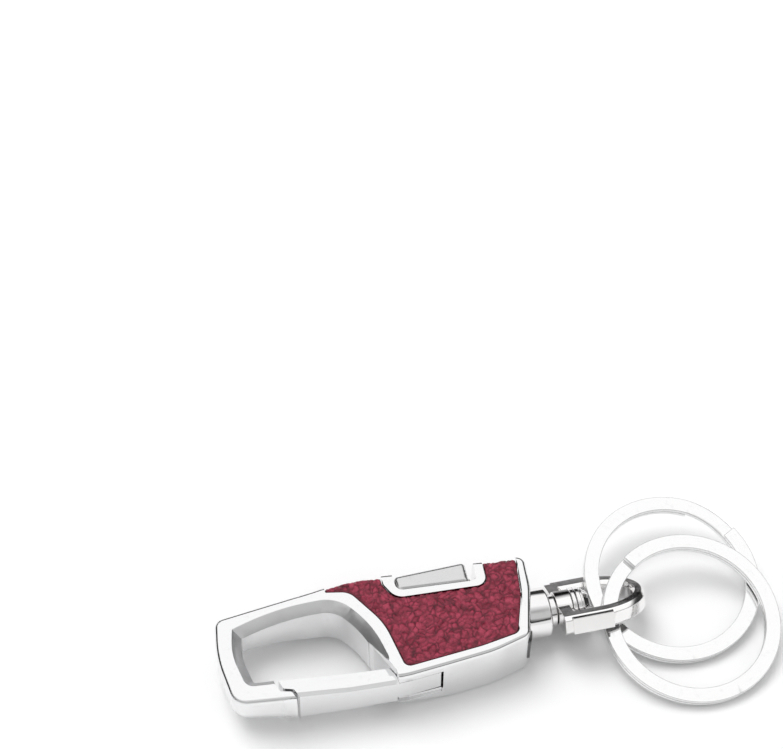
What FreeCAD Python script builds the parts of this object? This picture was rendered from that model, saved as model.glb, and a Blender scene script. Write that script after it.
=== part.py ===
"""Carabiner key ring: leather-covered casing with a spring gate, a torch, a swivel shackle and two split rings.

Millimetres. +Z is up and the part lies on its rear face. Sub-parts are modelled about the swivel axis:
x = 0 at the front of the swivel collar, y = 0 on the axis, z = 0 on the floor. One shift then puts the
origin under the centre of the whole part. +X points from the hook to the rings.
"""
import FreeCAD, Part
import Sketcher

import math
import os

from FreeCAD import Placement, Rotation, Vector

# ---------------------------------------------------------------- driving dimensions

SIZES = {
    "shift_x": 6.972, "shift_y": 1.871,
    # casing and hook
    "casing_height": 10.5, "taper_start": 38.0, "taper_angle": 7.7, "taper_bend": 60.0,
    "edge_round": 0.9, "hook_round": 4.0, "nose_round": 3.3, "opening_bevel": 1.6,
    "cavity_height": 7.2, "fit": 0.02, "end_cut": 12.0, "bore_end": -6.0, "window_end": -7.0,
    "leather_thickness": 0.8, "leather_sink": 0.15, "leather_gap": 0.12,
    "plate_thickness": 0.7, "plate_gap": 0.4, "spine_leather": 0.85, "leather_round": 1.6,
    "plate_play": 0.05,
    # gate
    "gate_slope_width": 1.6, "gate_slope_depth": 0.22, "gate_edge_width": 0.7, "gate_edge_depth": 0.3,
    "gate_under": 1.6,
    "tail_height": 4.2, "tail_bottom": 4.35, "cutout_height": 4.85, "cutout_bottom": 3.8, "lip_depth": 0.9,
    "pin_x": -20.8, "pin_y": -7.6, "pin_radius": 0.75, "pin_play": 0.05,
    "spring_wire": 0.34, "spring_coil": 1.25, "spring_pitch": 0.38, "spring_turns": 2.3,
    # switch lever
    "lever_bottom": 0.12, "lever_height": 10.26, "lever_round": 0.9,
    "foot_height": 1.7, "foot_bottom": 4.4, "foot_play": 0.2,
    "lever_spring_wire": 0.24, "lever_spring_coil": 1.5, "lever_spring_pitch": 0.4,
    "lever_spring_turns": 2.2,
    # swivel
    "collar_radius": 4.3, "collar_seat": -2.6, "collar_front": 1.8, "neck_radius": 1.5, "neck_play": 0.08,
    "shank_radius": 1.2, "shank_end": -4.2,
    "washer_radius": 2.7, "head_radius": 3.25, "head_end": 9.15, "slot_width": 0.8, "slot_depth": 1.1,
    "washer_gap": 0.1, "head_washer_thickness": 0.75, "flange": 0.8, "flange_step": 0.35, "crown": 1.1,
    # shackle
    "shackle_roll": 29.9, "shackle_width": 14.4, "shackle_height": 3.45, "shackle_edge": 0.65,
    "shackle_back": 3.1, "shackle_bar": 2.7, "shackle_arm": 2.75, "shackle_bend": 10.0,
    "shackle_end": 19.3, "shackle_bow": 2.4, "boss_radius": 3.1,
    "cheek_start": 4.4, "cheek_end": 11.6, "cheek_depth": 1.0, "cheek_rise": 0.35, "cheek_margin": 0.25,
    # split rings
    "ring_a_x": 25.25, "ring_a_y": 2.41, "ring_a_z": 4.331, "ring_a_radius": 15.6,
    "ring_b_x": 25.91, "ring_b_y": -6.26, "ring_b_z": 4.332, "ring_b_radius": 15.5,
    "ring_wire_width": 2.6, "ring_turn": 0.83, "ring_slit": 0.04, "ring_ramp_angle": 34.0,
    # torch and its cells
    "cell_x": -10.9, "cell_y": -1.6, "cell_radius": 4.7, "cell_height": 2.7, "cell_bottom": 1.9,
    "cell_gap": 0.01, "contact_radius": 4.2, "contact_thickness": 0.18,
    "tray_radius": 5.0, "tray_wall": 0.25, "tray_height": 5.6, "strap_y": -1.6, "strap_width": 2.0,
    "lens_proud": 0.35, "lens_back": -4.9,
    # switch and boards: lengths along x, y and z
    "switch_body_x": 5.2, "switch_body_y": 2.7, "switch_body_z": 4.25,
    "switch_knob_x": 1.0, "switch_knob_y": 0.75, "switch_knob_z": 1.7,
    "switch_board_x": 6.0, "switch_board_y": 7.0, "switch_board_z": 0.8,
    "led_board_x": 0.6, "led_board_y": 1.95, "led_board_z": 5.3,
    "led_emitter_x": 0.78, "led_emitter_y": 1.5, "led_emitter_z": 1.5,
}

doc = FreeCAD.newDocument("CarabinerKeyRing")
sheet = doc.addObject("Spreadsheet::Sheet", "Sizes")
for row, (alias, value) in enumerate(SIZES.items(), 1):
    sheet.set(f"A{row}", alias)
    sheet.set(f"B{row}", str(value))
    sheet.setAlias(f"B{row}", alias)
doc.recompute()


def size(alias):
    """The value of one cell of the sheet."""
    return float(sheet.get(alias))


HEIGHT = size("casing_height")
MID = HEIGHT / 2
HOME = Placement(Vector(size("shift_x"), size("shift_y"), 0), Rotation())


# ---------------------------------------------------------------- outlines

def rounded(points):
    """Lines and arcs through the corners (x, y, radius) of a closed outline."""
    count = len(points)
    starts, ends, arcs = [], [], []
    for i, (x, y, radius) in enumerate(points):
        here = Vector(x, y, 0)
        back = Vector(*points[i - 1][:2], 0) - here
        ahead = Vector(*points[(i + 1) % count][:2], 0) - here
        back.normalize()
        ahead.normalize()
        half = back.getAngle(ahead) / 2
        if radius <= 0 or abs(half - math.pi / 2) < 1e-6:
            starts.append(here)
            ends.append(here)
            arcs.append(None)
            continue
        reach = radius / math.tan(half)
        bisector = back + ahead
        bisector.normalize()
        middle = here + bisector * (radius / math.sin(half) - radius)
        starts.append(here + back * reach)
        ends.append(here + ahead * reach)
        arcs.append(Part.Arc(starts[-1], middle, ends[-1]))
    geometry = []
    for i in range(count):
        if arcs[i]:
            geometry.append(arcs[i])
        geometry.append(Part.LineSegment(ends[i], starts[(i + 1) % count]))
    return geometry


def inset(points, distance):
    """The outline moved inwards by a distance, or outwards if it is negative."""
    count = len(points)
    area = sum(points[i - 1][0] * points[i][1] - points[i][0] * points[i - 1][1] for i in range(count))
    side = 1 if area > 0 else -1
    moved = []
    for i, (x, y, radius) in enumerate(points):
        before, after = points[i - 1], points[(i + 1) % count]
        a = Vector(x - before[0], y - before[1], 0).normalize()
        b = Vector(after[0] - x, after[1] - y, 0).normalize()
        normal_a = Vector(-a.y, a.x, 0) * side
        normal_b = Vector(-b.y, b.x, 0) * side
        shift = (normal_a + normal_b) * (distance / (1 + normal_a.dot(normal_b)))
        turn = (a.x * b.y - a.y * b.x) * side
        new_radius = radius - distance if turn > 0 else radius + distance
        moved.append((x + shift.x, y + shift.y, max(new_radius, 0)))
    return moved


def box_outline(x_low, y_low, x_high, y_high, radius=0):
    return [(x_low, y_low, radius), (x_high, y_low, radius),
            (x_high, y_high, radius), (x_low, y_high, radius)]


# The whole casing and hook seen from above.
OUTER = [(-0.1, 9.0, 1.6), (-31.8, 10.6, 15), (-37.8, 9.58, 40), (-54.7, 8.85, 1.8), (-55.6, 1.42, 25),
         (-54.1, -8.44, 3.6), (-43.0, -10.56, 25), (-25.0, -10.6, 15), (-18.5, -9.97, 100), (-10.0, -9.05, 20),
         (-3.4, -7.2, 2.0), (-0.75, 2.2, 15)]
# The hook's opening at the faces. Its core, below the bevel, is smaller.
OPENING = [(-52.05, 5.95, 0.8), (-52.95, 1.2, 14), (-51.5, -5.85, 2.2), (-33.0, -8.95, 2.0), (-27.2, -7.9, 2.0),
           (-28.95, 0.6, 20), (-33.6, 7.2, 6.5), (-45.2, 7.6, 40)]
# The gap that the gate closes, stepped at the nose so that the gate laps inside it.
GATE_GAP = [(-46.87, -2.0, 0), (-46.87, -6.8, 0.2), (-46.17, -8.32, 0.3), (-44.47, -8.87, 0.4),
            (-43.87, -10.3, 0.3), (-43.72, -13.0, 0), (-26.55, -13.0, 0), (-26.9, -9.0, 0.5),
            (-28.6, -5.0, 0), (-30.0, -2.0, 0)]
# Where the leather lies on each face, with a notch for the rim around the lever.
LEATHER = [(-35.6, 13.0, 0), (-35.4, 8.55, 0.3), (-31.4, 7.75, 3.0), (-26.95, 0.4, 14), (-25.3, -9.0, 1.3),
           (-11.9, -7.7, 15), (-5.2, -6.5, 1.6), (-2.6, 1.0, 15), (-1.75, 7.2, 0), (-1.75, 13.0, 0),
           (-7.5, 13.0, 0), (-8.0, 4.25, 1.8), (-23.8, 4.95, 2.6), (-25.3, 8.0, 1.5), (-25.5, 13.0, 0)]
CAVITY = [(-26.0, 4.1, 1.5), (-24.6, -4.0, 0.5), (-24.4, -7.7, 1.0), (-12.0, -6.9, 3.0),
          (-4.6, -7.15, 0.6), (-4.35, 3.7, 0.6)]
LEVER_POCKET = [(-23.7, 14.0, 0), (-23.35, 6.35, 1.3), (-9.45, 5.45, 0.9), (-9.1, 14.0, 0)]
LEVER = [(-23.35, 9.55, 0.7), (-23.15, 6.47, 1.2), (-10.8, 5.67, 0.4), (-10.55, 9.95, 0.7)]
GATE_SLOT = [(-33.0, -9.1, 0), (-33.0, -1.6, 0), (-25.0, -4.9, 0.5), (-18.1, -4.9, 0.5), (-18.1, -9.1, 0.5)]
TAIL_CUTOUT = box_outline(-27.2, -12.0, -19.1, -8.6)
# A shallow step under the tail, as deep as the wall allows.
TAIL_LIP = [(-27.2, -12.0, 0), (-19.3, -12.0, 0), (-19.3, -9.85, 0.2), (-25.0, -10.25, 0), (-27.2, -10.25, 0)]
# The gate's bar: x, inner y, outer y and upper face's height at three stations, and its stepped nose.
GATE_STATIONS = [(-46.6, -6.03, -9.46, 9.3), (-34.8, -6.88, -10.35, 8.75), (-27.0, -7.45, -10.62, 8.75)]
GATE_TRIM = [(-46.55, -5.0, 0), (-45.65, -7.8, 0.3), (-44.0, -8.25, 0.3), (-43.35, -9.7, 0.2),
             (-43.2, -11.5, 0), (-27.05, -11.5, 0), (-27.05, -5.0, 0)]
TAIL = [(-27.2, -10.6, 0), (-24.8, -10.55, 0), (-19.35, -10.02, 0.2), (-19.35, -6.0, 1.4), (-27.2, -7.3, 0)]
# The torch lens seen along the swivel axis: y across, z up.
LENS_FRAME = box_outline(-7.05, 2.3, -4.75, 8.2, 0.9)
# The lever's foot and the slot that it slides in.
FOOT = box_outline(-20.2, 2.95, -19.0, 7.0)
FOOT_SLOT = box_outline(-20.55, 2.5, -17.8, 7.5)
# The contact strap seen from the side: x along, z up.
STRAP = [(-8.0, 7.35, 0), (-12.0, 7.35, 0.2), (-15.0, 8.5, 0.2), (-18.5, 8.5, 0),
         (-18.5, 8.7, 0), (-15.06, 8.7, 0.2), (-12.06, 7.55, 0.2), (-8.0, 7.55, 0)]
# The lowest corners of the plain blocks inside.
CORNERS = {"switch_body": (-21.6, 0.0, 2.55), "switch_knob": (-18.9, 2.85, 4.4),
           "switch_board": (-22.4, -3.9, 1.7),
           "led_board": (-6.5, -6.85, 2.6), "led_emitter": (-5.88, -6.6, 4.5)}
FACE_KEEPOUT = box_outline(-70, -30, 30, 30)


# ---------------------------------------------------------------- modelling helpers

def new_body(label, placement=HOME):
    body = doc.addObject("PartDesign::Body", label)
    body.Label = label
    body.Placement = placement
    return body


def new_sketch(body, name, role, offset=None):
    """A sketch on one of the body's origin planes, moved along the plane's normal by an expression."""
    sketch = body.newObject("Sketcher::SketchObject", f"{body.Name}_{name}_sketch")
    plane = next(item for item in body.Origin.OriginFeatures if item.Role == role)
    sketch.AttachmentSupport = (plane, "")
    sketch.MapMode = "FlatFace"
    if offset:
        sketch.setExpression("AttachmentOffset.Base.z", offset)
    return sketch


def outline_sketch(body, name, outlines, role="XY_Plane", offset=None):
    sketch = new_sketch(body, name, role, offset)
    for outline in outlines:
        sketch.addGeometry(rounded(outline), False)
    return sketch


def circle_sketch(body, name, radius, centre=(0, 0), role="XY_Plane", offset=None):
    """A circle whose radius follows an expression."""
    sketch = new_sketch(body, name, role, offset)
    circle = Part.Circle(Vector(centre[0], centre[1], 0), Vector(0, 0, 1), 1)
    index = sketch.addGeometry(circle, False)
    constraint = sketch.addConstraint(Sketcher.Constraint("Radius", index, 1.0))
    sketch.setExpression(f"Constraints[{constraint}]", radius)
    return sketch


def feature(body, kind, name, sketch, length=None, middle=False, backwards=False):
    """A pad or pocket of a sketch whose length follows an expression; a pocket with none goes right through."""
    item = body.newObject(f"PartDesign::{kind}", f"{body.Name}_{name}_{kind.lower()}")
    item.Profile = sketch
    if length:
        item.setExpression("Length", length)
    else:
        item.Type = 1
    item.Midplane = middle
    item.Reversed = backwards
    sketch.Visibility = False
    doc.recompute()
    return item


def turned(body, name, sketch, axis, angle="360", backwards=False):
    item = body.newObject("PartDesign::Revolution", f"{body.Name}_{name}_revolution")
    item.Profile = sketch
    item.ReferenceAxis = (sketch, [axis])
    item.setExpression("Angle", angle)
    item.Reversed = backwards
    doc.recompute()
    return item


def dress(body, kind, name, wanted, expression):
    """A fillet or chamfer on every edge of the tip that the test accepts."""
    tip = body.Tip
    edges = [f"Edge{i}" for i, edge in enumerate(tip.Shape.Edges, 1) if wanted(edge)]
    item = body.newObject(f"PartDesign::{kind}", f"{body.Name}_{name}_{kind.lower()}")
    item.Base = (tip, edges)
    item.setExpression("Radius" if kind == "Fillet" else "Size", expression)
    doc.recompute()
    return item


def middle_of(edge):
    return edge.valueAt((edge.FirstParameter + edge.LastParameter) / 2)


def is_upright(edge):
    tangent = edge.tangentAt((edge.FirstParameter + edge.LastParameter) / 2)
    return abs(tangent.z) > 0.5


def near_outline(point, outline, reach):
    """Whether a point in the sub-part's own frame lies within reach of an outline, seen from above."""
    edges = [item.toShape() for item in rounded(outline)]
    dot = Part.Vertex(Vector(point.x, point.y, 0))
    return min(edge.distToShape(dot)[0] for edge in edges) < reach


def disc(label, radius, length, centre, axis=Vector(0, 0, 1)):
    """A plain cylinder from a centre along an axis."""
    item = doc.addObject("Part::Cylinder", label)
    item.Label = label
    item.setExpression("Radius", radius)
    item.setExpression("Height", length)
    item.Placement = HOME * Placement(centre, Rotation(Vector(0, 0, 1), axis))
    return item


def block(label):
    """A plain box from its lowest corner, sized by the cells named after it."""
    item = doc.addObject("Part::Box", label)
    item.Label = label
    for side, axis in (("Length", "x"), ("Width", "y"), ("Height", "z")):
        item.setExpression(side, f"Sizes.{label}_{axis}")
    item.Placement = HOME * Placement(Vector(*CORNERS[label]), Rotation())
    return item


# ---------------------------------------------------------------- casing

def make_tapered_block(label, outline):
    """A plate of the casing's height, thinner towards the nose on both faces, with a smooth bend between."""
    body = new_body(label)
    feature(body, "Pad", "plan", outline_sketch(body, "plan", [outline]), "Sizes.casing_height")
    start, bend, angle = size("taper_start"), size("taper_bend"), math.radians(size("taper_angle"))
    length = 25.0
    above = HEIGHT + 3
    top = [(-start + bend * math.tan(angle / 2) + 1, HEIGHT, 0), (-start, HEIGHT, bend),
           (-start - length, HEIGHT - length * math.tan(angle), 0), (-start - length, above, 0),
           (-start + bend * math.tan(angle / 2) + 1, above, 0)]
    bottom = [(x, HEIGHT - z, radius) for x, z, radius in top]
    feature(body, "Pocket", "taper", outline_sketch(body, "taper", [top, bottom], "XZ_Plane"), middle=True)
    return body


def rim_radius(point):
    """The rounding of the rim: wide under the near side of the hook, fading along casing and nose."""
    small = size("edge_round")
    if point.z > MID or point.y > 8:
        return small
    if point.x < -50:
        wide, share = size("nose_round"), (7 - point.y) / 15
    else:
        wide, share = size("hook_round"), (-17 - point.x) / 11
    return small + (wide - small) * min(max(share, 0), 1)


def make_casing_shape():
    """The outer shape of hook and casing with its rounded rims."""
    block = make_tapered_block("casing_block", OUTER)
    rims = []
    for i, edge in enumerate(block.Shape.Edges, 1):
        if is_upright(edge) or not near_outline(middle_of(edge) - HOME.Base, OUTER, 0.02):
            continue
        ends = [edge.valueAt(edge.FirstParameter) - HOME.Base, edge.valueAt(edge.LastParameter) - HOME.Base]
        rims.append((i, *(rim_radius(end) for end in ends)))
    shape = doc.addObject("Part::Fillet", "casing_shape")
    shape.Base = block
    shape.Edges = rims
    doc.recompute()
    return shape


def make_frame_blank():
    """Hook and casing in one casting, cut out but not yet trimmed to the outer shape or the leather's bed."""
    body = make_tapered_block("frame_blank", inset(OUTER, -0.5))
    core = inset(OPENING, size("opening_bevel"))
    feature(body, "Pocket", "opening", outline_sketch(body, "opening", [core]), middle=True)
    dress(body, "Chamfer", "bevel",
          lambda edge: not is_upright(edge) and near_outline(middle_of(edge), core, 0.05),
          "Sizes.opening_bevel")
    feature(body, "Pocket", "gate_gap", outline_sketch(body, "gate_gap", [GATE_GAP]), middle=True)

    inside = outline_sketch(body, "cavity", [CAVITY], offset="Sizes.casing_height / 2")
    feature(body, "Pocket", "cavity", inside, "Sizes.cavity_height", middle=True)
    slot = outline_sketch(body, "gate_slot", [GATE_SLOT], offset="Sizes.casing_height / 2")
    feature(body, "Pocket", "gate_slot", slot, "Sizes.cavity_height", middle=True)
    cutout = outline_sketch(body, "tail_cutout", [TAIL_CUTOUT], offset="Sizes.cutout_bottom")
    feature(body, "Pocket", "tail_cutout", cutout, "Sizes.cutout_height", backwards=True)
    lip = outline_sketch(body, "tail_lip", [TAIL_LIP], offset="Sizes.cutout_bottom - Sizes.lip_depth")
    feature(body, "Pocket", "tail_lip", lip, "Sizes.lip_depth", backwards=True)
    feature(body, "Pocket", "lever_pocket", outline_sketch(body, "lever_pocket", [LEVER_POCKET]), middle=True)

    passage = outline_sketch(body, "foot_slot", [FOOT_SLOT], offset="Sizes.foot_bottom - Sizes.foot_play")
    feature(body, "Pocket", "foot_slot", passage, "Sizes.foot_height + 2 * Sizes.foot_play", backwards=True)

    seat = circle_sketch(body, "seat", "Sizes.collar_radius + Sizes.fit", (0, MID), "YZ_Plane",
                         "Sizes.collar_seat")
    feature(body, "Pocket", "collar_seat", seat, "Sizes.end_cut", backwards=True)
    bore = circle_sketch(body, "bore", "Sizes.shank_radius + Sizes.fit", (0, MID), "YZ_Plane", "Sizes.bore_end")
    feature(body, "Pocket", "post_bore", bore, "Sizes.end_cut", backwards=True)

    window = outline_sketch(body, "window", [inset(LENS_FRAME, -size("fit"))], "YZ_Plane", "Sizes.window_end")
    feature(body, "Pocket", "torch_window", window, "Sizes.end_cut", backwards=True)
    return body


def make_leather_bed():
    """What the leather and the plates under it take out of the casing."""
    body = new_body("leather_bed")
    bed = outline_sketch(body, "area", [LEATHER], offset="-1")
    feature(body, "Pad", "area", bed, "Sizes.casing_height + 2")
    core = outline_sketch(body, "core", [inset(OUTER, size("spine_leather"))], offset="Sizes.casing_height / 2")
    feature(body, "Pocket", "core", core, "Sizes.cavity_height", middle=True)
    return body


def make_body_frame():
    bedded = doc.addObject("Part::Cut", "bedded_blank")
    bedded.Base = make_frame_blank()
    bedded.Tool = make_leather_bed()
    frame = doc.addObject("Part::Common", "body_frame")
    frame.Base = bedded
    frame.Tool = make_casing_shape()
    frame.Label = "body_frame"
    return frame


def make_plate(label, bottom):
    """A cover plate that closes the casing under the leather and holds one end of the gate pin."""
    body = new_body(label)
    plan = inset(LEATHER, size("plate_gap"))
    feature(body, "Pad", "plan", outline_sketch(body, "plan", [plan], offset=bottom), "Sizes.plate_thickness")
    spine = inset(OUTER, size("spine_leather") + size("plate_play"))
    feature(body, "Pocket", "spine", outline_sketch(body, "spine", [FACE_KEEPOUT, spine]), middle=True)
    pin = circle_sketch(body, "pin", "Sizes.pin_radius", (size("pin_x"), size("pin_y")))
    feature(body, "Pocket", "pin", pin, middle=True)
    return body


def make_leather_wrap():
    """One piece of leather round the spine, over both faces."""
    body = new_body("leather_wrap")
    lift = "Sizes.leather_sink"
    plan = outline_sketch(body, "plan", [inset(OUTER, size("fit"))], offset=lift)
    feature(body, "Pad", "plan", plan, "Sizes.casing_height - 2 * Sizes.leather_sink")
    dress(body, "Fillet", "spine", lambda edge: not is_upright(edge), "Sizes.leather_round")
    area = outline_sketch(body, "area", [FACE_KEEPOUT, inset(LEATHER, size("leather_gap"))])
    feature(body, "Pocket", "area", area, middle=True)
    core = outline_sketch(body, "core", [inset(OUTER, size("spine_leather") - size("fit"))],
                          offset="Sizes.casing_height / 2")
    depth = "Sizes.casing_height - 2 * (Sizes.leather_sink + Sizes.leather_thickness)"
    feature(body, "Pocket", "core", core, depth, middle=True)
    return body


# ---------------------------------------------------------------- gate

def gate_section(body, station):
    """The bar's section at one station: sloped inner margins, an eased upper edge and a round lower one."""
    x, inner, outer, high = station
    low = HEIGHT - high
    slope, slope_drop = size("gate_slope_width"), size("gate_slope_depth")
    ease, ease_drop = size("gate_edge_width"), size("gate_edge_depth")
    outline = [(outer, low, size("gate_under")), (inner - slope, low, 0), (inner, low + slope_drop, 0),
               (inner, high - slope_drop, 0), (inner - slope, high, 0), (outer + ease, high, 0),
               (outer, high - ease_drop, 0)]
    return outline_sketch(body, f"station_{-int(x)}", [outline], "YZ_Plane", str(x))


def make_gate():
    """A bar lofted through three stations, stepped at the nose, with a pivot tail."""
    body = new_body("gate")
    first, *others = [gate_section(body, station) for station in GATE_STATIONS]
    bar = body.newObject("PartDesign::AdditiveLoft", "gate_bar_loft")
    bar.Profile = first
    bar.Sections = others
    bar.Ruled = True
    doc.recompute()
    feature(body, "Pocket", "trim", outline_sketch(body, "trim", [FACE_KEEPOUT, GATE_TRIM]), middle=True)
    tail = outline_sketch(body, "tail", [TAIL], offset="Sizes.tail_bottom")
    feature(body, "Pad", "tail", tail, "Sizes.tail_height")
    hole = circle_sketch(body, "pin", "Sizes.pin_radius + Sizes.pin_play", (size("pin_x"), size("pin_y")))
    feature(body, "Pocket", "pin", hole, middle=True)
    return body


def make_coil(label, key, placement):
    """A round wire wound about its own +Z from z = 0, sized by the cells whose names start with the key."""
    body = new_body(label, HOME * placement)
    sketch = circle_sketch(body, "wire", f"Sizes.{key}_wire / 2", (size(f"{key}_coil"), 0), "XZ_Plane")
    helix = body.newObject("PartDesign::AdditiveHelix", f"{label}_helix")
    helix.Profile = sketch
    helix.ReferenceAxis = (sketch, ["V_Axis"])
    helix.Mode = "pitch-turns-angle"
    helix.setExpression("Pitch", f"Sizes.{key}_pitch")
    helix.setExpression("Turns", f"Sizes.{key}_turns")
    doc.recompute()
    return body


def make_gate_parts():
    make_gate()
    pin = Vector(size("pin_x"), size("pin_y"), size("leather_sink") + size("leather_thickness") + size("fit"))
    between_leathers = "Sizes.casing_height - 2 * (Sizes.leather_sink + Sizes.leather_thickness + Sizes.fit)"
    disc("gate_pin", "Sizes.pin_radius", between_leathers, pin)
    floor = (HEIGHT - size("cavity_height")) / 2 + size("spring_wire") / 2 + 2 * size("fit")
    make_coil("gate_spring", "spring", Placement(Vector(pin.x, pin.y, floor), Rotation()))


# ---------------------------------------------------------------- lever and switch

LEVER_TILT = math.degrees(math.atan2(LEVER[2][1] - LEVER[1][1], LEVER[2][0] - LEVER[1][0]))


def make_side_lever():
    body = new_body("side_lever")
    plan = outline_sketch(body, "plan", [LEVER], offset="Sizes.lever_bottom")
    feature(body, "Pad", "plan", plan, "Sizes.lever_height")

    def outer_edge(edge):
        return not is_upright(edge) and middle_of(edge).y > 8.5

    dress(body, "Fillet", "spine", outer_edge, "Sizes.lever_round")
    foot = outline_sketch(body, "foot", [FOOT], offset="Sizes.foot_bottom")
    feature(body, "Pad", "foot", foot, "Sizes.foot_height")
    return body


def make_lever_parts():
    make_side_lever()
    start = Vector(LEVER[2][0] + 0.25, 7.7, MID)
    along = Rotation(Vector(0, 0, 1), LEVER_TILT) * Rotation(Vector(0, 1, 0), 90)
    make_coil("lever_spring", "lever_spring", Placement(start, along))
    for label in ("switch_body", "switch_knob", "switch_board"):
        block(label)


# ---------------------------------------------------------------- torch

def make_torch_lens():
    """A window in the end wall whose face follows the casing's end, a little proud of it."""
    body = new_body("torch_lens")
    face = outline_sketch(body, "face", [inset(OUTER, -size("lens_proud"))])
    feature(body, "Pad", "face", face, "Sizes.casing_height")
    back = box_outline(-70, -30, size("lens_back"), 30)
    feature(body, "Pocket", "back", outline_sketch(body, "back", [back]), middle=True)
    keep = outline_sketch(body, "keep", [box_outline(-30, -20, 30, 30), LENS_FRAME], "YZ_Plane")
    feature(body, "Pocket", "sides", keep, middle=True)


def make_cells():
    """Two button cells in a round tray, with a contact under them and a sprung strap over them."""
    centre = Vector(size("cell_x"), size("cell_y"), size("cell_bottom"))
    disc("cell_lower", "Sizes.cell_radius", "Sizes.cell_height", centre)
    upper = centre + Vector(0, 0, size("cell_height") + size("cell_gap"))
    disc("cell_upper", "Sizes.cell_radius", "Sizes.cell_height", upper)
    under = centre - Vector(0, 0, size("contact_thickness") + size("fit"))
    disc("contact_plate", "Sizes.contact_radius", "Sizes.contact_thickness", under)
    tray = new_body("cell_tray", HOME * Placement(centre, Rotation()))
    wall = box_outline(size("tray_radius") - size("tray_wall"), 0, size("tray_radius"), size("tray_height"))
    turned(tray, "wall", outline_sketch(tray, "wall", [wall], "XZ_Plane"), "V_Axis")
    strap = new_body("contact_strap")
    profile = outline_sketch(strap, "profile", [STRAP], "XZ_Plane", "-Sizes.strap_y")
    feature(strap, "Pad", "profile", profile, "Sizes.strap_width", middle=True)


def make_torch():
    make_torch_lens()
    block("led_board")
    block("led_emitter")
    make_cells()


# ---------------------------------------------------------------- swivel

def lathe(label, profile, placement=HOME):
    """A body turned about the swivel axis from a profile of (x, radius, corner radius)."""
    body = new_body(label, placement * Placement(Vector(0, 0, MID), Rotation()))
    sketch = new_sketch(body, "profile", "XY_Plane")
    sketch.addGeometry(rounded(profile), False)
    turned(body, "turn", sketch, "H_Axis")
    return body


def make_swivel():
    collar, seat, front = size("collar_radius"), size("collar_seat"), size("collar_front")
    neck, washer = size("neck_radius"), size("washer_radius")
    hole = neck + size("neck_play")
    shank, fit = size("shank_radius"), size("fit")
    lathe("swivel_collar", [(seat, shank + fit, 0), (seat, collar, 0), (front, collar, 0.5),
                            (front, shank + fit, 0)])
    back, bar, gap = size("shackle_back"), size("shackle_bar"), size("washer_gap")
    lathe("swivel_washer", [(front + gap, hole, 0), (front + gap, washer, 0.15),
                            (back - gap, washer, 0.15), (back - gap, hole, 0)])
    head, bench = size("head_radius"), back + bar + gap
    rest = bench + size("head_washer_thickness")
    lathe("head_washer", [(bench, hole, 0), (bench, head, 0.2), (rest, head, 0.2), (rest, hole, 0)])
    under, end, step = rest + gap, size("head_end"), size("flange_step")
    rim, crown = under + size("flange"), size("crown")
    tip = size("shank_end")
    post = lathe("swivel_post", [(tip, 0, 0), (tip, shank, 0), (front + fit, shank, 0), (front + fit, neck, 0),
                                 (under, neck, 0), (under, head, 0.2), (rim, head, 0.2), (rim, head - step, 0),
                                 (rim + 0.2, head - step, 0), (rim + 0.2, head - 0.1, 0.1),
                                 (end, head - crown, 0.9), (end, 0, 0)])
    slot = outline_sketch(post, "slot", [box_outline(end - size("slot_depth"), -size("slot_width") / 2,
                                                     end + 2, size("slot_width") / 2)])
    feature(post, "Pocket", "slot", slot, middle=True)


def make_shackle():
    """A D-shaped link about the swivel axis, lying in its own XY plane before it is rolled."""
    roll = Rotation(Vector(1, 0, 0), -size("shackle_roll"))
    body = new_body("shackle", HOME * Placement(Vector(0, 0, MID), roll))
    half, back = size("shackle_width") / 2, size("shackle_back")
    bend, end = size("shackle_bend"), size("shackle_end")
    arm, bar, bow = size("shackle_arm"), size("shackle_bar"), size("shackle_bow")

    def link(left, wide, right):
        """Straight sides closed by half an ellipse."""
        centre = Vector(bend, 0, 0)
        if right - bend > wide:
            oval = Part.Ellipse(Vector(right, 0, 0), Vector(bend, wide, 0), centre)
            curve = Part.ArcOfEllipse(oval, -math.pi / 2, math.pi / 2)
        else:
            oval = Part.Ellipse(Vector(bend, wide, 0), Vector(right, 0, 0), centre)
            curve = Part.ArcOfEllipse(oval, -math.pi, 0)
        low, high = Vector(bend, -wide, 0), Vector(bend, wide, 0)
        return [curve, Part.LineSegment(high, Vector(left, wide, 0)),
                Part.LineSegment(Vector(left, wide, 0), Vector(left, -wide, 0)),
                Part.LineSegment(Vector(left, -wide, 0), low)]

    plan = new_sketch(body, "plan", "XY_Plane")
    plan.addGeometry(link(back, half, end), False)
    plan.addGeometry(link(back + bar, half - arm, end - bow), False)
    feature(body, "Pad", "plan", plan, "Sizes.shackle_height", middle=True)
    dress(body, "Chamfer", "edges", lambda edge: not is_upright(edge) and middle_of(edge).x > back + 0.1,
          "Sizes.shackle_edge")
    start, stop = size("cheek_start"), size("cheek_end")
    inner, proud = half - size("cheek_depth"), half + size("cheek_rise")
    cheeks = outline_sketch(body, "cheeks", [box_outline(start, inner, stop, proud),
                                             box_outline(start, -proud, stop, -inner)])
    feature(body, "Pad", "cheeks", cheeks, "Sizes.shackle_height - 2 * Sizes.cheek_margin", middle=True)
    boss = circle_sketch(body, "boss", "Sizes.boss_radius", (0, 0), "YZ_Plane", "Sizes.shackle_back")
    feature(body, "Pad", "boss", boss, "Sizes.shackle_bar")
    bore = circle_sketch(body, "bore", "Sizes.neck_radius + Sizes.neck_play", (0, 0), "YZ_Plane",
                         "Sizes.shackle_back - 1")
    feature(body, "Pocket", "bore", bore, "Sizes.shackle_bar + 2", backwards=True)
    return body


# ---------------------------------------------------------------- split rings

RING_A_NORMAL = Vector(0.0353, -0.2166, 0.9756)
RING_B_NORMAL = Vector(0.0270, -0.2204, 0.9750)


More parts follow.
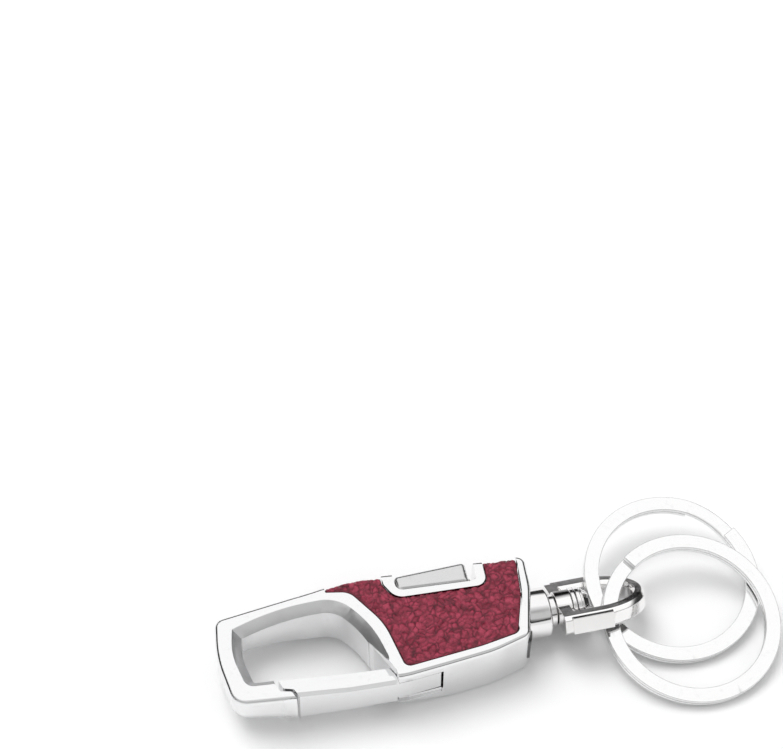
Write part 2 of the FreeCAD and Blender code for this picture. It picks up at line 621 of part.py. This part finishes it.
def make_split_ring(key, normal, ramp_direction):
    """Two flat turns of one wire, joined by a ramp, lying in a tilted plane."""
    label = f"split_{key}"
    centre = Vector(size(f"{key}_x"), size(f"{key}_y"), size(f"{key}_z"))
    spin = Rotation(Vector(0, 0, 1), ramp_direction)
    place = HOME * Placement(centre, Rotation(Vector(0, 0, 1), normal) * spin)
    body = new_body(label, place)
    outer, width = size(f"{key}_radius"), size("ring_wire_width")
    turn, slit = size("ring_turn"), size("ring_slit")
    half = turn + slit / 2
    lower = new_sketch(body, "lower", "XZ_Plane")
    lower.addGeometry(rounded(box_outline(outer - width, -half, outer, -slit / 2)), False)
    upper = new_sketch(body, "upper", "XZ_Plane")
    upper.addGeometry(rounded(box_outline(outer - width, slit / 2, outer, half)), False)
    turned(body, "lower_turn", lower, "V_Axis", "360 - Sizes.ring_ramp_angle", True)
    ramp = body.newObject("PartDesign::AdditiveHelix", f"{label}_ramp")
    ramp.Profile = lower
    ramp.ReferenceAxis = (lower, ["V_Axis"])
    ramp.Mode = "height-turns-angle"
    ramp.setExpression("Height", "Sizes.ring_turn + Sizes.ring_slit")
    ramp.setExpression("Turns", "Sizes.ring_ramp_angle / 360")
    doc.recompute()
    turned(body, "upper_turn", upper, "V_Axis", "360 - Sizes.ring_ramp_angle", True)
    return body


# ---------------------------------------------------------------- build and write

NODES = ["body_frame", "front_plate", "rear_plate", "leather_wrap", "gate", "gate_pin", "gate_spring",
         "side_lever", "lever_spring", "switch_body", "switch_knob", "switch_board", "torch_lens",
         "led_board", "led_emitter", "cell_lower", "cell_upper", "contact_plate", "cell_tray",
         "contact_strap", "swivel_collar", "swivel_washer", "head_washer", "swivel_post", "shackle",
         "split_ring_a", "split_ring_b"]

make_body_frame()
under_leather = "Sizes.leather_sink + Sizes.leather_thickness"
make_plate("front_plate", f"Sizes.casing_height - ({under_leather}) - Sizes.plate_thickness")
make_plate("rear_plate", under_leather)
make_leather_wrap()
make_gate_parts()
make_lever_parts()
make_torch()
make_swivel()
make_shackle()
make_split_ring("ring_a", RING_A_NORMAL, 28)
make_split_ring("ring_b", RING_B_NORMAL, 124)
doc.recompute()

for item in doc.Objects:
    if {"Invalid", "Error"} & set(item.State):
        raise RuntimeError(f"{item.Name} failed: {item.State}")

os.makedirs("parts", exist_ok=True)
for label in NODES:
    item = doc.getObjectsByLabel(label)[0]
    shape = item.Shape
    if shape.isNull() or not shape.isValid() or len(shape.Solids) != 1:
        raise RuntimeError(f"{label} is not one valid solid: {shape.isValid()}, {len(shape.Solids)} solids")
    shape.exportStep(f"parts/{label}.step")
    print(f"{label:16s} {shape.Volume:9.2f} mm3  {shape.BoundBox}")
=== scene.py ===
"""Looks of the carabiner key ring: polished casting, pebbled leather, black torch lens, split rings."""
import math

import bpy
import numpy as np
from mathutils import Matrix, Vector, noise


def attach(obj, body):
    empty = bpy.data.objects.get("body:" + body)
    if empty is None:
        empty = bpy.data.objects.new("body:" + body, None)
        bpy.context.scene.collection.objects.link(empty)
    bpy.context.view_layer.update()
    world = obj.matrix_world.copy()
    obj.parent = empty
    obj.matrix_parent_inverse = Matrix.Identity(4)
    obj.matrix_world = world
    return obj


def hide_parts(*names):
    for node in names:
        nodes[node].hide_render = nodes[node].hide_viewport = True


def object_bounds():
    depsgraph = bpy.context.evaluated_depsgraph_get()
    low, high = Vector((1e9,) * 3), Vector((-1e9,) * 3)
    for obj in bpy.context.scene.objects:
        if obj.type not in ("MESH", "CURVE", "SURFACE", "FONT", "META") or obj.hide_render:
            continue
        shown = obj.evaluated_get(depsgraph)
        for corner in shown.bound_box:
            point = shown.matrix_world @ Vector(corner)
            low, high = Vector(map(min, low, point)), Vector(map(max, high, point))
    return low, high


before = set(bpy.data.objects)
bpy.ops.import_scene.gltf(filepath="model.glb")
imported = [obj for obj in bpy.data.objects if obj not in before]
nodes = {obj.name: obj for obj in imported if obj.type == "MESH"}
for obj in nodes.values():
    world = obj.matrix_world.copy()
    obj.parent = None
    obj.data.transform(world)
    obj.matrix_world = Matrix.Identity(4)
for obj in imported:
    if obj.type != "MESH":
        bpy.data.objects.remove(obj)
cad_low, cad_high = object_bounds()

MM = 0.001

# Where the hook's opening lies and how steep its walls are, and the roll that the shackle lies at.
OPENING_MIDDLE = (-33.0 * MM, 1.1 * MM)
OPENING_HALF = (14.2 * MM, 9.2 * MM)
WALL_TILT = 0.9
SHACKLE_ROLL = math.radians(29.9)

# The camera looks at the gate's side from 48 degrees above the floor.
CAMERA_PLACE = (-0.056436, -0.165384, 0.263396)
CAMERA_RIGHT = (0.97554, -0.21981, 0.0)
CAMERA_FORWARD = (0.1471, 0.6528, -0.7431)
CAMERA_LENS, CAMERA_SENSOR = 82.76, 36.0


# ---------------------------------------------------------------- node helpers

def new_material(name):
    """A material with one Principled shader: (material, node tree, shader)."""
    material = bpy.data.materials.new(name)
    material.use_nodes = True
    tree = material.node_tree
    tree.nodes.clear()
    output = tree.nodes.new("ShaderNodeOutputMaterial")
    shader = tree.nodes.new("ShaderNodeBsdfPrincipled")
    tree.links.new(shader.outputs["BSDF"], output.inputs["Surface"])
    return material, tree, shader


def add(tree, kind, inputs=None, **settings):
    """A node with its settings, and its inputs given as values or as sockets to link."""
    node = tree.nodes.new(kind)
    for key, value in settings.items():
        setattr(node, key, value)
    for key, value in (inputs or {}).items():
        plug(tree, node.inputs[key], value)
    return node


def plug(tree, socket, value):
    if isinstance(value, bpy.types.NodeSocket):
        tree.links.new(value, socket)
    else:
        socket.default_value = value


def place(tree, scale=(1, 1, 1)):
    """Object coordinates in metres, stretched."""
    coords = add(tree, "ShaderNodeTexCoord").outputs["Object"]
    return add(tree, "ShaderNodeMapping", {"Vector": coords, "Scale": scale}).outputs["Vector"]


def maths(tree, operation, first, second=None, third=None):
    """One Math node's result."""
    given = {i: value for i, value in enumerate((first, second, third)) if value is not None}
    return add(tree, "ShaderNodeMath", given, operation=operation).outputs[0]


def grain(tree, where, scale, detail=3.0, roughness=0.5, distortion=0.0):
    """Noise from 0 to 1 with features of about 1 / scale metres."""
    return add(tree, "ShaderNodeTexNoise", {
        "Vector": where, "Scale": scale, "Detail": detail, "Roughness": roughness,
        "Distortion": distortion,
    }).outputs["Fac"]


def between(tree, value, low, high, start=0.0, end=1.0):
    """The value from start to end mapped to low to high, clamped."""
    return add(tree, "ShaderNodeMapRange", {
        "Value": value, "From Min": start, "From Max": end, "To Min": low, "To Max": high,
    }).outputs["Result"]


def mix(tree, factor, first, second):
    """A colour between two others."""
    node = add(tree, "ShaderNodeMix", data_type="RGBA")
    plug(tree, node.inputs["Factor"], factor)
    plug(tree, node.inputs[6], first)
    plug(tree, node.inputs[7], second)
    return node.outputs[2]


def relief(tree, height, strength, distance, under=None):
    inputs = {"Height": height, "Strength": strength, "Distance": distance}
    if under is not None:
        inputs["Normal"] = under
    return add(tree, "ShaderNodeBump", inputs).outputs["Normal"]


def rgb(*values):
    return (*values, 1.0)


# ---------------------------------------------------------------- materials

def inside_opening(tree, plain):
    """One on the walls and bevel of the hook's opening, which are polished less than the outside."""
    axes = add(tree, "ShaderNodeSeparateXYZ", {"Vector": plain})
    along = maths(tree, "COMPARE", axes.outputs["X"], OPENING_MIDDLE[0], OPENING_HALF[0])
    across = maths(tree, "COMPARE", axes.outputs["Y"], OPENING_MIDDLE[1], OPENING_HALF[1])
    normal = add(tree, "ShaderNodeTexCoord").outputs["Normal"]
    facing = add(tree, "ShaderNodeSeparateXYZ", {"Vector": normal})
    sideways = maths(tree, "COMPARE", facing.outputs["Z"], 0.0, WALL_TILT)
    return maths(tree, "MULTIPLY", maths(tree, "MULTIPLY", along, across), sideways)


def polished_metal(name, colour, smooth, haze, streaks=(400, 400, 400), scratch=0.04, ripple=0.02,
                   opening=0.0):
    """Plated metal: cloudy polish, hairline scratches along the streaks and a faint cast ripple."""
    material, tree, shader = new_material(name)
    plain = place(tree)
    drawn = place(tree, streaks)
    cloud = grain(tree, plain, 260, 4.0, 0.6)
    hair = grain(tree, drawn, 1.0, 6.0, 0.7)
    wear = between(tree, grain(tree, plain, 900, 5.0, 0.65), 0.0, 1.0, 0.56, 0.74)
    dull = tuple(0.95 * c for c in colour)
    plug(tree, shader.inputs["Base Color"], mix(tree, wear, rgb(*colour), rgb(*dull)))
    shader.inputs["Metallic"].default_value = 1.0
    polish = maths(tree, "MULTIPLY", cloud, hair)
    rough = between(tree, polish, smooth, smooth + haze, 0.12, 0.42)
    if opening:
        rough = maths(tree, "MULTIPLY_ADD", inside_opening(tree, plain), opening, rough)
    plug(tree, shader.inputs["Roughness"], rough)
    wave = relief(tree, grain(tree, plain, 330, 2.0, 0.4), ripple, 0.4 * MM)
    plug(tree, shader.inputs["Normal"], relief(tree, hair, scratch, 0.03 * MM, wave))
    return material


def painted_reflection_metal(name, dark, painted_edge_highlight):
    """The shackle: dark polished flats that are a painted reflection, and edges with a painted highlight.
    The tone follows the surface's own direction.
    """
    material, tree, shader = new_material(name)
    plain = place(tree)
    facing = add(tree, "ShaderNodeTexCoord").outputs["Normal"]
    # Painted reflection: faces whose normal runs along the roll's upright take the dark mottled tone, all
    # other faces the pale painted highlight.
    upright = (0.0, math.sin(SHACKLE_ROLL), math.cos(SHACKLE_ROLL))
    flat = add(tree, "ShaderNodeVectorMath", {0: facing, 1: upright}, operation="DOT_PRODUCT")
    size = maths(tree, "ABSOLUTE", flat.outputs["Value"])
    mask = between(tree, size, 0.0, 1.0, 0.86, 0.97)
    speck = grain(tree, plain, 1500, 5.0, 0.7)
    darker = tuple(0.7 * c for c in dark)
    mottled = mix(tree, between(tree, speck, 0.0, 1.0, 0.4, 0.62), rgb(*darker), rgb(*dark))
    plug(tree, shader.inputs["Base Color"], mix(tree, mask, rgb(*painted_edge_highlight), mottled))
    shader.inputs["Metallic"].default_value = 1.0
    cloud = grain(tree, plain, 500, 4.0, 0.6)
    plug(tree, shader.inputs["Roughness"], between(tree, cloud, 0.07, 0.24, 0.3, 0.75))
    wave = relief(tree, grain(tree, plain, 420, 2.0, 0.4), 0.03, 0.4 * MM)
    plug(tree, shader.inputs["Normal"], relief(tree, speck, 0.05, 0.03 * MM, wave))
    return material


# The fold colour is painted shade, used in the folds between pebbles and along the sunk edge.
LEATHER_DEEP, LEATHER_WORN = rgb(0.15, 0.006, 0.022), rgb(0.39, 0.042, 0.085)
LEATHER_PORE, LEATHER_FOLD_SHADE = rgb(0.09, 0.005, 0.018), rgb(0.055, 0.002, 0.008)


def leather_material(name):
    """Burgundy full-grain leather; an attribute of the mesh darkens the folds between pebbles and the
    sunk edge as painted shade.
    """
    material, tree, shader = new_material(name)
    plain = place(tree)
    painted_shade = add(tree, "ShaderNodeAttribute", attribute_name="painted_shade").outputs["Fac"]
    mottle = grain(tree, plain, 700, 5.0, 0.65)
    pores = grain(tree, plain, 7000, 3.0, 0.6)
    worn = between(tree, mottle, 0.0, 1.0, 0.36, 0.64)
    crown = mix(tree, worn, LEATHER_DEEP, LEATHER_WORN)
    spotted = mix(tree, between(tree, pores, 0.35, 0.0, 0.35, 0.5), crown, LEATHER_PORE)
    # Painted shade: the folds between pebbles and the sunk edge are darkened towards the fold colour.
    plug(tree, shader.inputs["Base Color"], mix(tree, painted_shade, spotted, LEATHER_FOLD_SHADE))
    plug(tree, shader.inputs["Roughness"], between(tree, mottle, 0.30, 0.50, 0.3, 0.7))
    shader.inputs["Specular IOR Level"].default_value = 0.36
    shader.inputs["Sheen Weight"].default_value = 0.03
    shader.inputs["Sheen Roughness"].default_value = 0.4
    fine = relief(tree, grain(tree, plain, 2600, 4.0, 0.65, 0.6), 0.35, 0.05 * MM)
    plug(tree, shader.inputs["Normal"], relief(tree, pores, 0.25, 0.02 * MM, fine))
    return material


def moulded(name, colour, rough, spread, texture=0.2, scale=5000, coat=0.0):
    """Plastic, board or paint: fine moulded texture over a slow change of tone."""
    material, tree, shader = new_material(name)
    plain = place(tree)
    slow = grain(tree, plain, 300, 3.0)
    fine = grain(tree, plain, scale, 4.0, 0.6)
    deep = tuple(0.72 * c for c in colour)
    plug(tree, shader.inputs["Base Color"], mix(tree, slow, rgb(*colour), rgb(*deep)))
    plug(tree, shader.inputs["Roughness"], between(tree, fine, rough, rough + spread, 0.3, 0.7))
    shader.inputs["Coat Weight"].default_value = coat
    shader.inputs["Coat Roughness"].default_value = 0.03
    plug(tree, shader.inputs["Normal"], relief(tree, fine, texture, 0.02 * MM))
    return material


def circuit_board(name):
    """Green solder mask with slightly raised copper tracks."""
    material, tree, shader = new_material(name)
    plain = place(tree)
    tracks = add(tree, "ShaderNodeTexBrick", {
        "Vector": plain, "Scale": 900.0, "Mortar Size": 0.06, "Mortar Smooth": 0.2,
        "Color1": rgb(0.01, 0.10, 0.03), "Color2": rgb(0.012, 0.13, 0.04),
        "Mortar": rgb(0.05, 0.28, 0.07),
    })
    plug(tree, shader.inputs["Base Color"], tracks.outputs["Color"])
    speck = grain(tree, plain, 4000, 3.0)
    plug(tree, shader.inputs["Roughness"], between(tree, speck, 0.25, 0.45))
    plug(tree, shader.inputs["Normal"], relief(tree, tracks.outputs["Fac"], 0.4, 0.03 * MM))
    return material


chrome = polished_metal("chrome_casting", (0.85, 0.85, 0.855), 0.04, 0.09, opening=0.26)
chrome_gate = polished_metal("chrome_gate", (0.84, 0.84, 0.845), 0.05, 0.11, (150, 2600, 2600), 0.05)
satin_lever = polished_metal("satin_lever", (0.66, 0.66, 0.66), 0.16, 0.16, (200, 5200, 5200), 0.10)
chrome_swivel = polished_metal("chrome_swivel", (0.85, 0.84, 0.84), 0.04, 0.10, (5000, 300, 300), 0.06)
ring_steel = polished_metal("ring_steel", (0.88, 0.88, 0.88), 0.05, 0.12, (900, 900, 900), 0.05)
# The shackle's dark flats and pale edges are a painted reflection and a painted highlight.
shackle_painted_reflection_metal = painted_reflection_metal("shackle_painted_reflection_metal", (0.17, 0.165, 0.165), (0.90, 0.89, 0.885))
leather = leather_material("burgundy_leather")
zinc = polished_metal("zinc_inside", (0.55, 0.56, 0.58), 0.35, 0.25, (800, 800, 800), 0.2, 0.05)
pin_steel = polished_metal("pin_steel", (0.72, 0.72, 0.73), 0.12, 0.15, (900, 900, 6000), 0.1)
spring_steel = polished_metal("spring_steel", (0.66, 0.65, 0.64), 0.14, 0.14, (2500, 2500, 2500), 0.08)
cell_steel = polished_metal("cell_steel", (0.78, 0.78, 0.80), 0.14, 0.14, (1800, 1800, 1800), 0.12)
brass = polished_metal("contact_brass", (0.80, 0.58, 0.26), 0.16, 0.18, (400, 5200, 5200), 0.12)
lens_black = moulded("lens_black", (0.006, 0.006, 0.007), 0.05, 0.05, 0.03, 900, coat=1.0)
switch_plastic = moulded("switch_plastic", (0.02, 0.02, 0.022), 0.42, 0.2)
emitter = moulded("emitter_phosphor", (0.85, 0.72, 0.16), 0.3, 0.2, 0.15, 3000, coat=0.6)
board = circuit_board("board_green")

FINISH = {
    "body_frame": chrome, "front_plate": zinc, "rear_plate": zinc,
    "gate": chrome_gate, "gate_pin": pin_steel, "gate_spring": spring_steel,
    "side_lever": satin_lever, "lever_spring": spring_steel,
    "switch_body": switch_plastic, "switch_knob": switch_plastic, "switch_board": board,
    "torch_lens": lens_black, "led_board": board, "led_emitter": emitter,
    "cell_lower": cell_steel, "cell_upper": cell_steel, "cell_tray": switch_plastic,
    "contact_plate": brass, "contact_strap": brass,
    "swivel_collar": chrome_swivel, "swivel_washer": chrome_swivel, "head_washer": chrome_swivel,
    "swivel_post": chrome_swivel, "shackle": shackle_painted_reflection_metal,
    "split_ring_a": ring_steel, "split_ring_b": ring_steel,
}
for name, material in FINISH.items():
    node = nodes[name]
    if not node.material_slots:
        node.data.materials.append(material)
    for item in node.material_slots:
        item.link = "OBJECT"
        item.material = material


# ---------------------------------------------------------------- softened edges on the metal

# Width of the rounding on each piece, in mm.
EDGES = {
    "body_frame": 0.20, "gate": 0.22, "side_lever": 0.24, "swivel_collar": 0.14,
    "swivel_washer": 0.08, "head_washer": 0.08, "swivel_post": 0.08, "shackle": 0.16,
    "torch_lens": 0.12, "split_ring_a": 0.16, "split_ring_b": 0.16,
}


def soften(node, width):
    """Joins the loose triangles' corners and rounds the sharp edges, as on a real casting."""
    weld = node.modifiers.new("weld", "WELD")
    weld.merge_threshold = 0.001 * MM
    bevel = node.modifiers.new("edge", "BEVEL")
    bevel.width = width * MM
    bevel.segments = 3
    bevel.limit_method = "ANGLE"
    bevel.angle_limit = math.radians(32)
    bevel.use_clamp_overlap = True
    bevel.harden_normals = True
    bevel.loop_slide = False


for name, width in EDGES.items():
    soften(nodes[name], width)
# Keeps the shackle's wide flats looking flat between their rounded edges.
flats = nodes["shackle"].modifiers.new("flats", "WEIGHTED_NORMAL")
flats.mode = "FACE_AREA"
flats.weight = 80


# ---------------------------------------------------------------- leather cover

def evaluated_copy(obj):
    graph = bpy.context.evaluated_depsgraph_get()
    return bpy.data.meshes.new_from_object(obj.evaluated_get(graph))


def spread(mesh, values, rounds):
    """Averages a value over each vertex's neighbours, a few times."""
    pairs = np.empty(len(mesh.edges) * 2, dtype=np.int32)
    mesh.edges.foreach_get("vertices", pairs)
    pairs = pairs.reshape(-1, 2)
    shares = np.bincount(pairs.ravel(), minlength=len(values)) + 1.0
    for _ in range(rounds):
        total = values.astype(np.float64)
        total += np.bincount(pairs[:, 0], weights=values[pairs[:, 1]], minlength=len(values))
        total += np.bincount(pairs[:, 1], weights=values[pairs[:, 0]], minlength=len(values))
        values = total / shares
    return values


# The grain: pebble size, and how wide, in pebbles, a fold and a pebble's shoulder are. Heights in mm.
PEBBLE, FOLD, SHOULDER = 1.2 * MM, 0.2, 0.42
RAISED, UNEVEN, SUNK, EDGE_SUNK = 0.26, 0.05, 0.15, 0.08
VOXEL, QUICK_VOXEL = 0.15 * MM, 0.3 * MM
GRAIN_SEED = 7
# The edge starts where the surface leans this much, and its sinking and painted shade spread over this
# many vertices.
EDGE_LEAN, EDGE_SPREAD = 0.35, 6


def make_leather():
    """The leather remade as a fine mesh, then raised into pebbles that sink at its edges, where painted
    shade darkens them.
    """
    cover = bpy.data.objects.new("leather_cover", nodes["leather_wrap"].data.copy())
    bpy.context.scene.collection.objects.link(cover)
    weld = cover.modifiers.new("weld", "WELD")
    weld.merge_threshold = 0.001 * MM
    grid = cover.modifiers.new("grid", "REMESH")
    grid.mode = "VOXEL"
    grid.voxel_size = VOXEL
    rolled = cover.modifiers.new("rolled", "SMOOTH")
    rolled.factor = 0.5
    rolled.iterations = 5
    mesh = evaluated_copy(cover)
    cover.modifiers.clear()
    cover.data = mesh

    count = len(mesh.vertices)
    points = np.empty(count * 3, dtype=np.float32)
    normals = np.empty(count * 3, dtype=np.float32)
    mesh.vertices.foreach_get("co", points)
    mesh.vertices.foreach_get("normal", normals)
    points, normals = points.reshape(-1, 3), normals.reshape(-1, 3)
    low, high = points.min(axis=0), points.max(axis=0)
    middle = (low + high) / 2
    outward = points - middle
    outward[:, 0] = 0
    shown = np.einsum("ij,ij->i", outward, normals) > 0

    noise.seed_set(GRAIN_SEED)
    fold_and_edge_shade = np.zeros(count, dtype=np.float32)
    heights = np.zeros(count, dtype=np.float32)
    for i in np.nonzero(shown)[0]:
        p = Vector(points[i]) / PEBBLE
        warp = Vector(noise.noise_vector(p * 0.6)) * 0.6 + Vector(noise.noise_vector(p * 1.9)) * 0.16
        distances, _ = noise.voronoi(p + warp)
        edge = distances[1] - distances[0]
        depth = min(max(0.85 + 0.7 * noise.noise(p * 0.7), 0.4), 1.0)
        # Painted shade in the fold where two pebbles meet.
        fold_and_edge_shade[i] = depth * max(0.0, 1.0 - edge / FOLD)
        dome = min(edge / SHOULDER, 1.0)
        heights[i] = RAISED * depth * dome * (2 - dome) + UNEVEN * noise.noise(p * 2.3) - SUNK
    turned = np.hypot(normals[:, 0], np.minimum(normals[:, 1], 0)) > EDGE_LEAN
    edge_sink_and_shade = np.clip(1.6 * spread(mesh, turned.astype(np.float32), EDGE_SPREAD), 0, 1)
    # Painted shade along the leather's sunk edge.
    fold_and_edge_shade = np.maximum(fold_and_edge_shade, edge_sink_and_shade)
    heights = heights * (1 - edge_sink_and_shade) - EDGE_SUNK * edge_sink_and_shade
    points += normals * (heights * MM)[:, None]
    mesh.vertices.foreach_set("co", points.ravel())
    layer = mesh.attributes.new("painted_shade", "FLOAT", "POINT")
    layer.data.foreach_set("value", np.clip(fold_and_edge_shade, 0, 1))
    mesh.shade_smooth()
    mesh.materials.clear()
    mesh.materials.append(leather)
    mesh.update()
    return cover


cover = make_leather()
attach(cover, "casing")
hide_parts("leather_wrap")


# ---------------------------------------------------------------- floor, light and camera

# Brightness of what the metal mirrors, the light on the floor and the leather, and the sizes around them.
CEILING_LIGHT, WALL_LIGHT, WALL_TOP_LIGHT, CARD_LIGHT, HORIZON_LIGHT = 1.12, 0.62, 0.40, 0.90, 0.035
SKY_LIGHT, SUN_LIGHT, SUN_SPREAD = 0.70, 1.6, 40
FLOOR_SIZE, FLOOR_DROP = 3.0, 0.02 * MM
DOME_RADIUS, DOME_RINGS, DOME_SIDES = 1.4, 24, 64


def make_floor():
    """Pale paper just under the object."""
    mesh = bpy.data.meshes.new("floor")
    low = cad_low.z - FLOOR_DROP
    side = (-FLOOR_SIZE / 2, 0.0, FLOOR_SIZE / 2)
    count = len(side)
    corners = [(x, y, low) for y in side for x in side]
    starts = [j * count + i for j in range(count - 1) for i in range(count - 1)]
    mesh.from_pydata(corners, [], [(k, k + 1, k + count + 1, k + count) for k in starts])
    material, tree, shader = new_material("floor_paper")
    plain = place(tree)
    slow = grain(tree, plain, 6, 2.0)
    paper = mix(tree, slow, rgb(0.90, 0.90, 0.905), rgb(0.93, 0.93, 0.93))
    plug(tree, shader.inputs["Base Color"], paper)
    plug(tree, shader.inputs["Roughness"], between(tree, grain(tree, plain, 900, 3.0), 0.7, 0.9))
    shader.inputs["Specular IOR Level"].default_value = 0.2
    mesh.materials.append(material)
    floor = bpy.data.objects.new("floor", mesh)
    bpy.context.scene.collection.objects.link(floor)


def make_dome():
    """What the polished metal reflects: a white ceiling over a dark horizon, greyer on the near side.

    It is seen only in reflections, so the floor and the background stay pale.
    """
    lowest, highest = math.radians(-12), math.radians(90)
    corners, faces = [], []
    for j in range(DOME_RINGS + 1):
        angle = lowest + (highest - lowest) * j / DOME_RINGS
        wide, high = DOME_RADIUS * math.cos(angle), DOME_RADIUS * math.sin(angle)
        for i in range(DOME_SIDES):
            turn = 2 * math.pi * i / DOME_SIDES
            corners.append((wide * math.cos(turn), wide * math.sin(turn), high))
    for j in range(DOME_RINGS):
        for i in range(DOME_SIDES):
            here, beside = j * DOME_SIDES + i, j * DOME_SIDES + (i + 1) % DOME_SIDES
            faces.append((here, beside, beside + DOME_SIDES, here + DOME_SIDES))
    mesh = bpy.data.meshes.new("dome")
    mesh.from_pydata(corners, [], faces)
    mesh.shade_smooth()

    material = bpy.data.materials.new("dome_light")
    material.use_nodes = True
    tree = material.node_tree
    tree.nodes.clear()
    output = tree.nodes.new("ShaderNodeOutputMaterial")
    coords = add(tree, "ShaderNodeTexCoord").outputs["Object"]
    unit = add(tree, "ShaderNodeVectorMath", {0: coords}, operation="NORMALIZE").outputs["Vector"]
    axes = add(tree, "ShaderNodeSeparateXYZ", {"Vector": unit})
    rise = maths(tree, "ARCSINE", axes.outputs["Z"])

    def by_height(low, high, start, end):
        return between(tree, rise, low, high, math.radians(start), math.radians(end))

    # The far side: white from well above the horizon, over the top of the dome.
    white = maths(tree, "MULTIPLY", by_height(0.0, 1.0, 25, 39), CEILING_LIGHT)
    # The near side: a low white card, a dark gap, then a grey wall that darkens upwards.
    fading = by_height(WALL_LIGHT, WALL_TOP_LIGHT, 52, 66)
    wall = maths(tree, "MULTIPLY", by_height(0.0, 1.0, 20, 30), fading)
    front = maths(tree, "MAXIMUM", wall, by_height(CARD_LIGHT, 0.0, 12, 17))
    near = between(tree, axes.outputs["Y"], 1.0, 0.0, -0.45, -0.05)
    sides = {"Factor": near, 2: white, 3: front}
    split = add(tree, "ShaderNodeMix", sides, data_type="FLOAT").outputs[0]
    glow = add(tree, "ShaderNodeEmission", {
        "Color": rgb(1.0, 1.0, 1.0), "Strength": maths(tree, "MAXIMUM", split, HORIZON_LIGHT)})
    tree.links.new(glow.outputs[0], output.inputs["Surface"])
    mesh.materials.append(material)
    dome = bpy.data.objects.new("dome", mesh)
    bpy.context.scene.collection.objects.link(dome)
    dome.visible_camera = False
    dome.visible_diffuse = False
    dome.visible_shadow = False
    dome.visible_transmission = False
    dome.visible_volume_scatter = False


def make_sun(towards):
    """A wide soft lamp over the far side, not mirrored by the metal."""
    lamp = bpy.data.lights.new("sun", "SUN")
    lamp.energy = SUN_LIGHT
    lamp.angle = math.radians(SUN_SPREAD)
    obj = bpy.data.objects.new("sun", lamp)
    bpy.context.scene.collection.objects.link(obj)
    obj.visible_glossy = False
    obj.rotation_mode = "QUATERNION"
    obj.rotation_quaternion = Vector(towards).to_track_quat("-Z", "Y")


def make_world():
    """Even white light from all round, for the floor and the leather."""
    world = bpy.data.worlds.new("studio")
    bpy.context.scene.world = world
    world.use_nodes = True
    tree = world.node_tree
    tree.nodes.clear()
    output = tree.nodes.new("ShaderNodeOutputWorld")
    sky = tree.nodes.new("ShaderNodeBackground")
    sky.inputs["Color"].default_value = rgb(1.0, 1.0, 1.0)
    sky.inputs["Strength"].default_value = SKY_LIGHT
    tree.links.new(sky.outputs[0], output.inputs["Surface"])


def make_camera():
    data = bpy.data.cameras.new("camera")
    data.lens = CAMERA_LENS
    data.sensor_width = CAMERA_SENSOR
    data.clip_start, data.clip_end = 0.01, 10.0
    camera = bpy.data.objects.new("camera", data)
    bpy.context.scene.collection.objects.link(camera)
    right = Vector(CAMERA_RIGHT).normalized()
    forward = Vector(CAMERA_FORWARD).normalized()
    up = right.cross(forward)
    turn = Matrix((right, up, -forward)).transposed().to_4x4()
    camera.matrix_world = Matrix.Translation(CAMERA_PLACE) @ turn
    bpy.context.scene.camera = camera


make_floor()
make_dome()
make_world()
make_sun((0.25, -0.40, -1.0))
make_camera()
bpy.context.scene.view_settings.view_transform = "Standard"
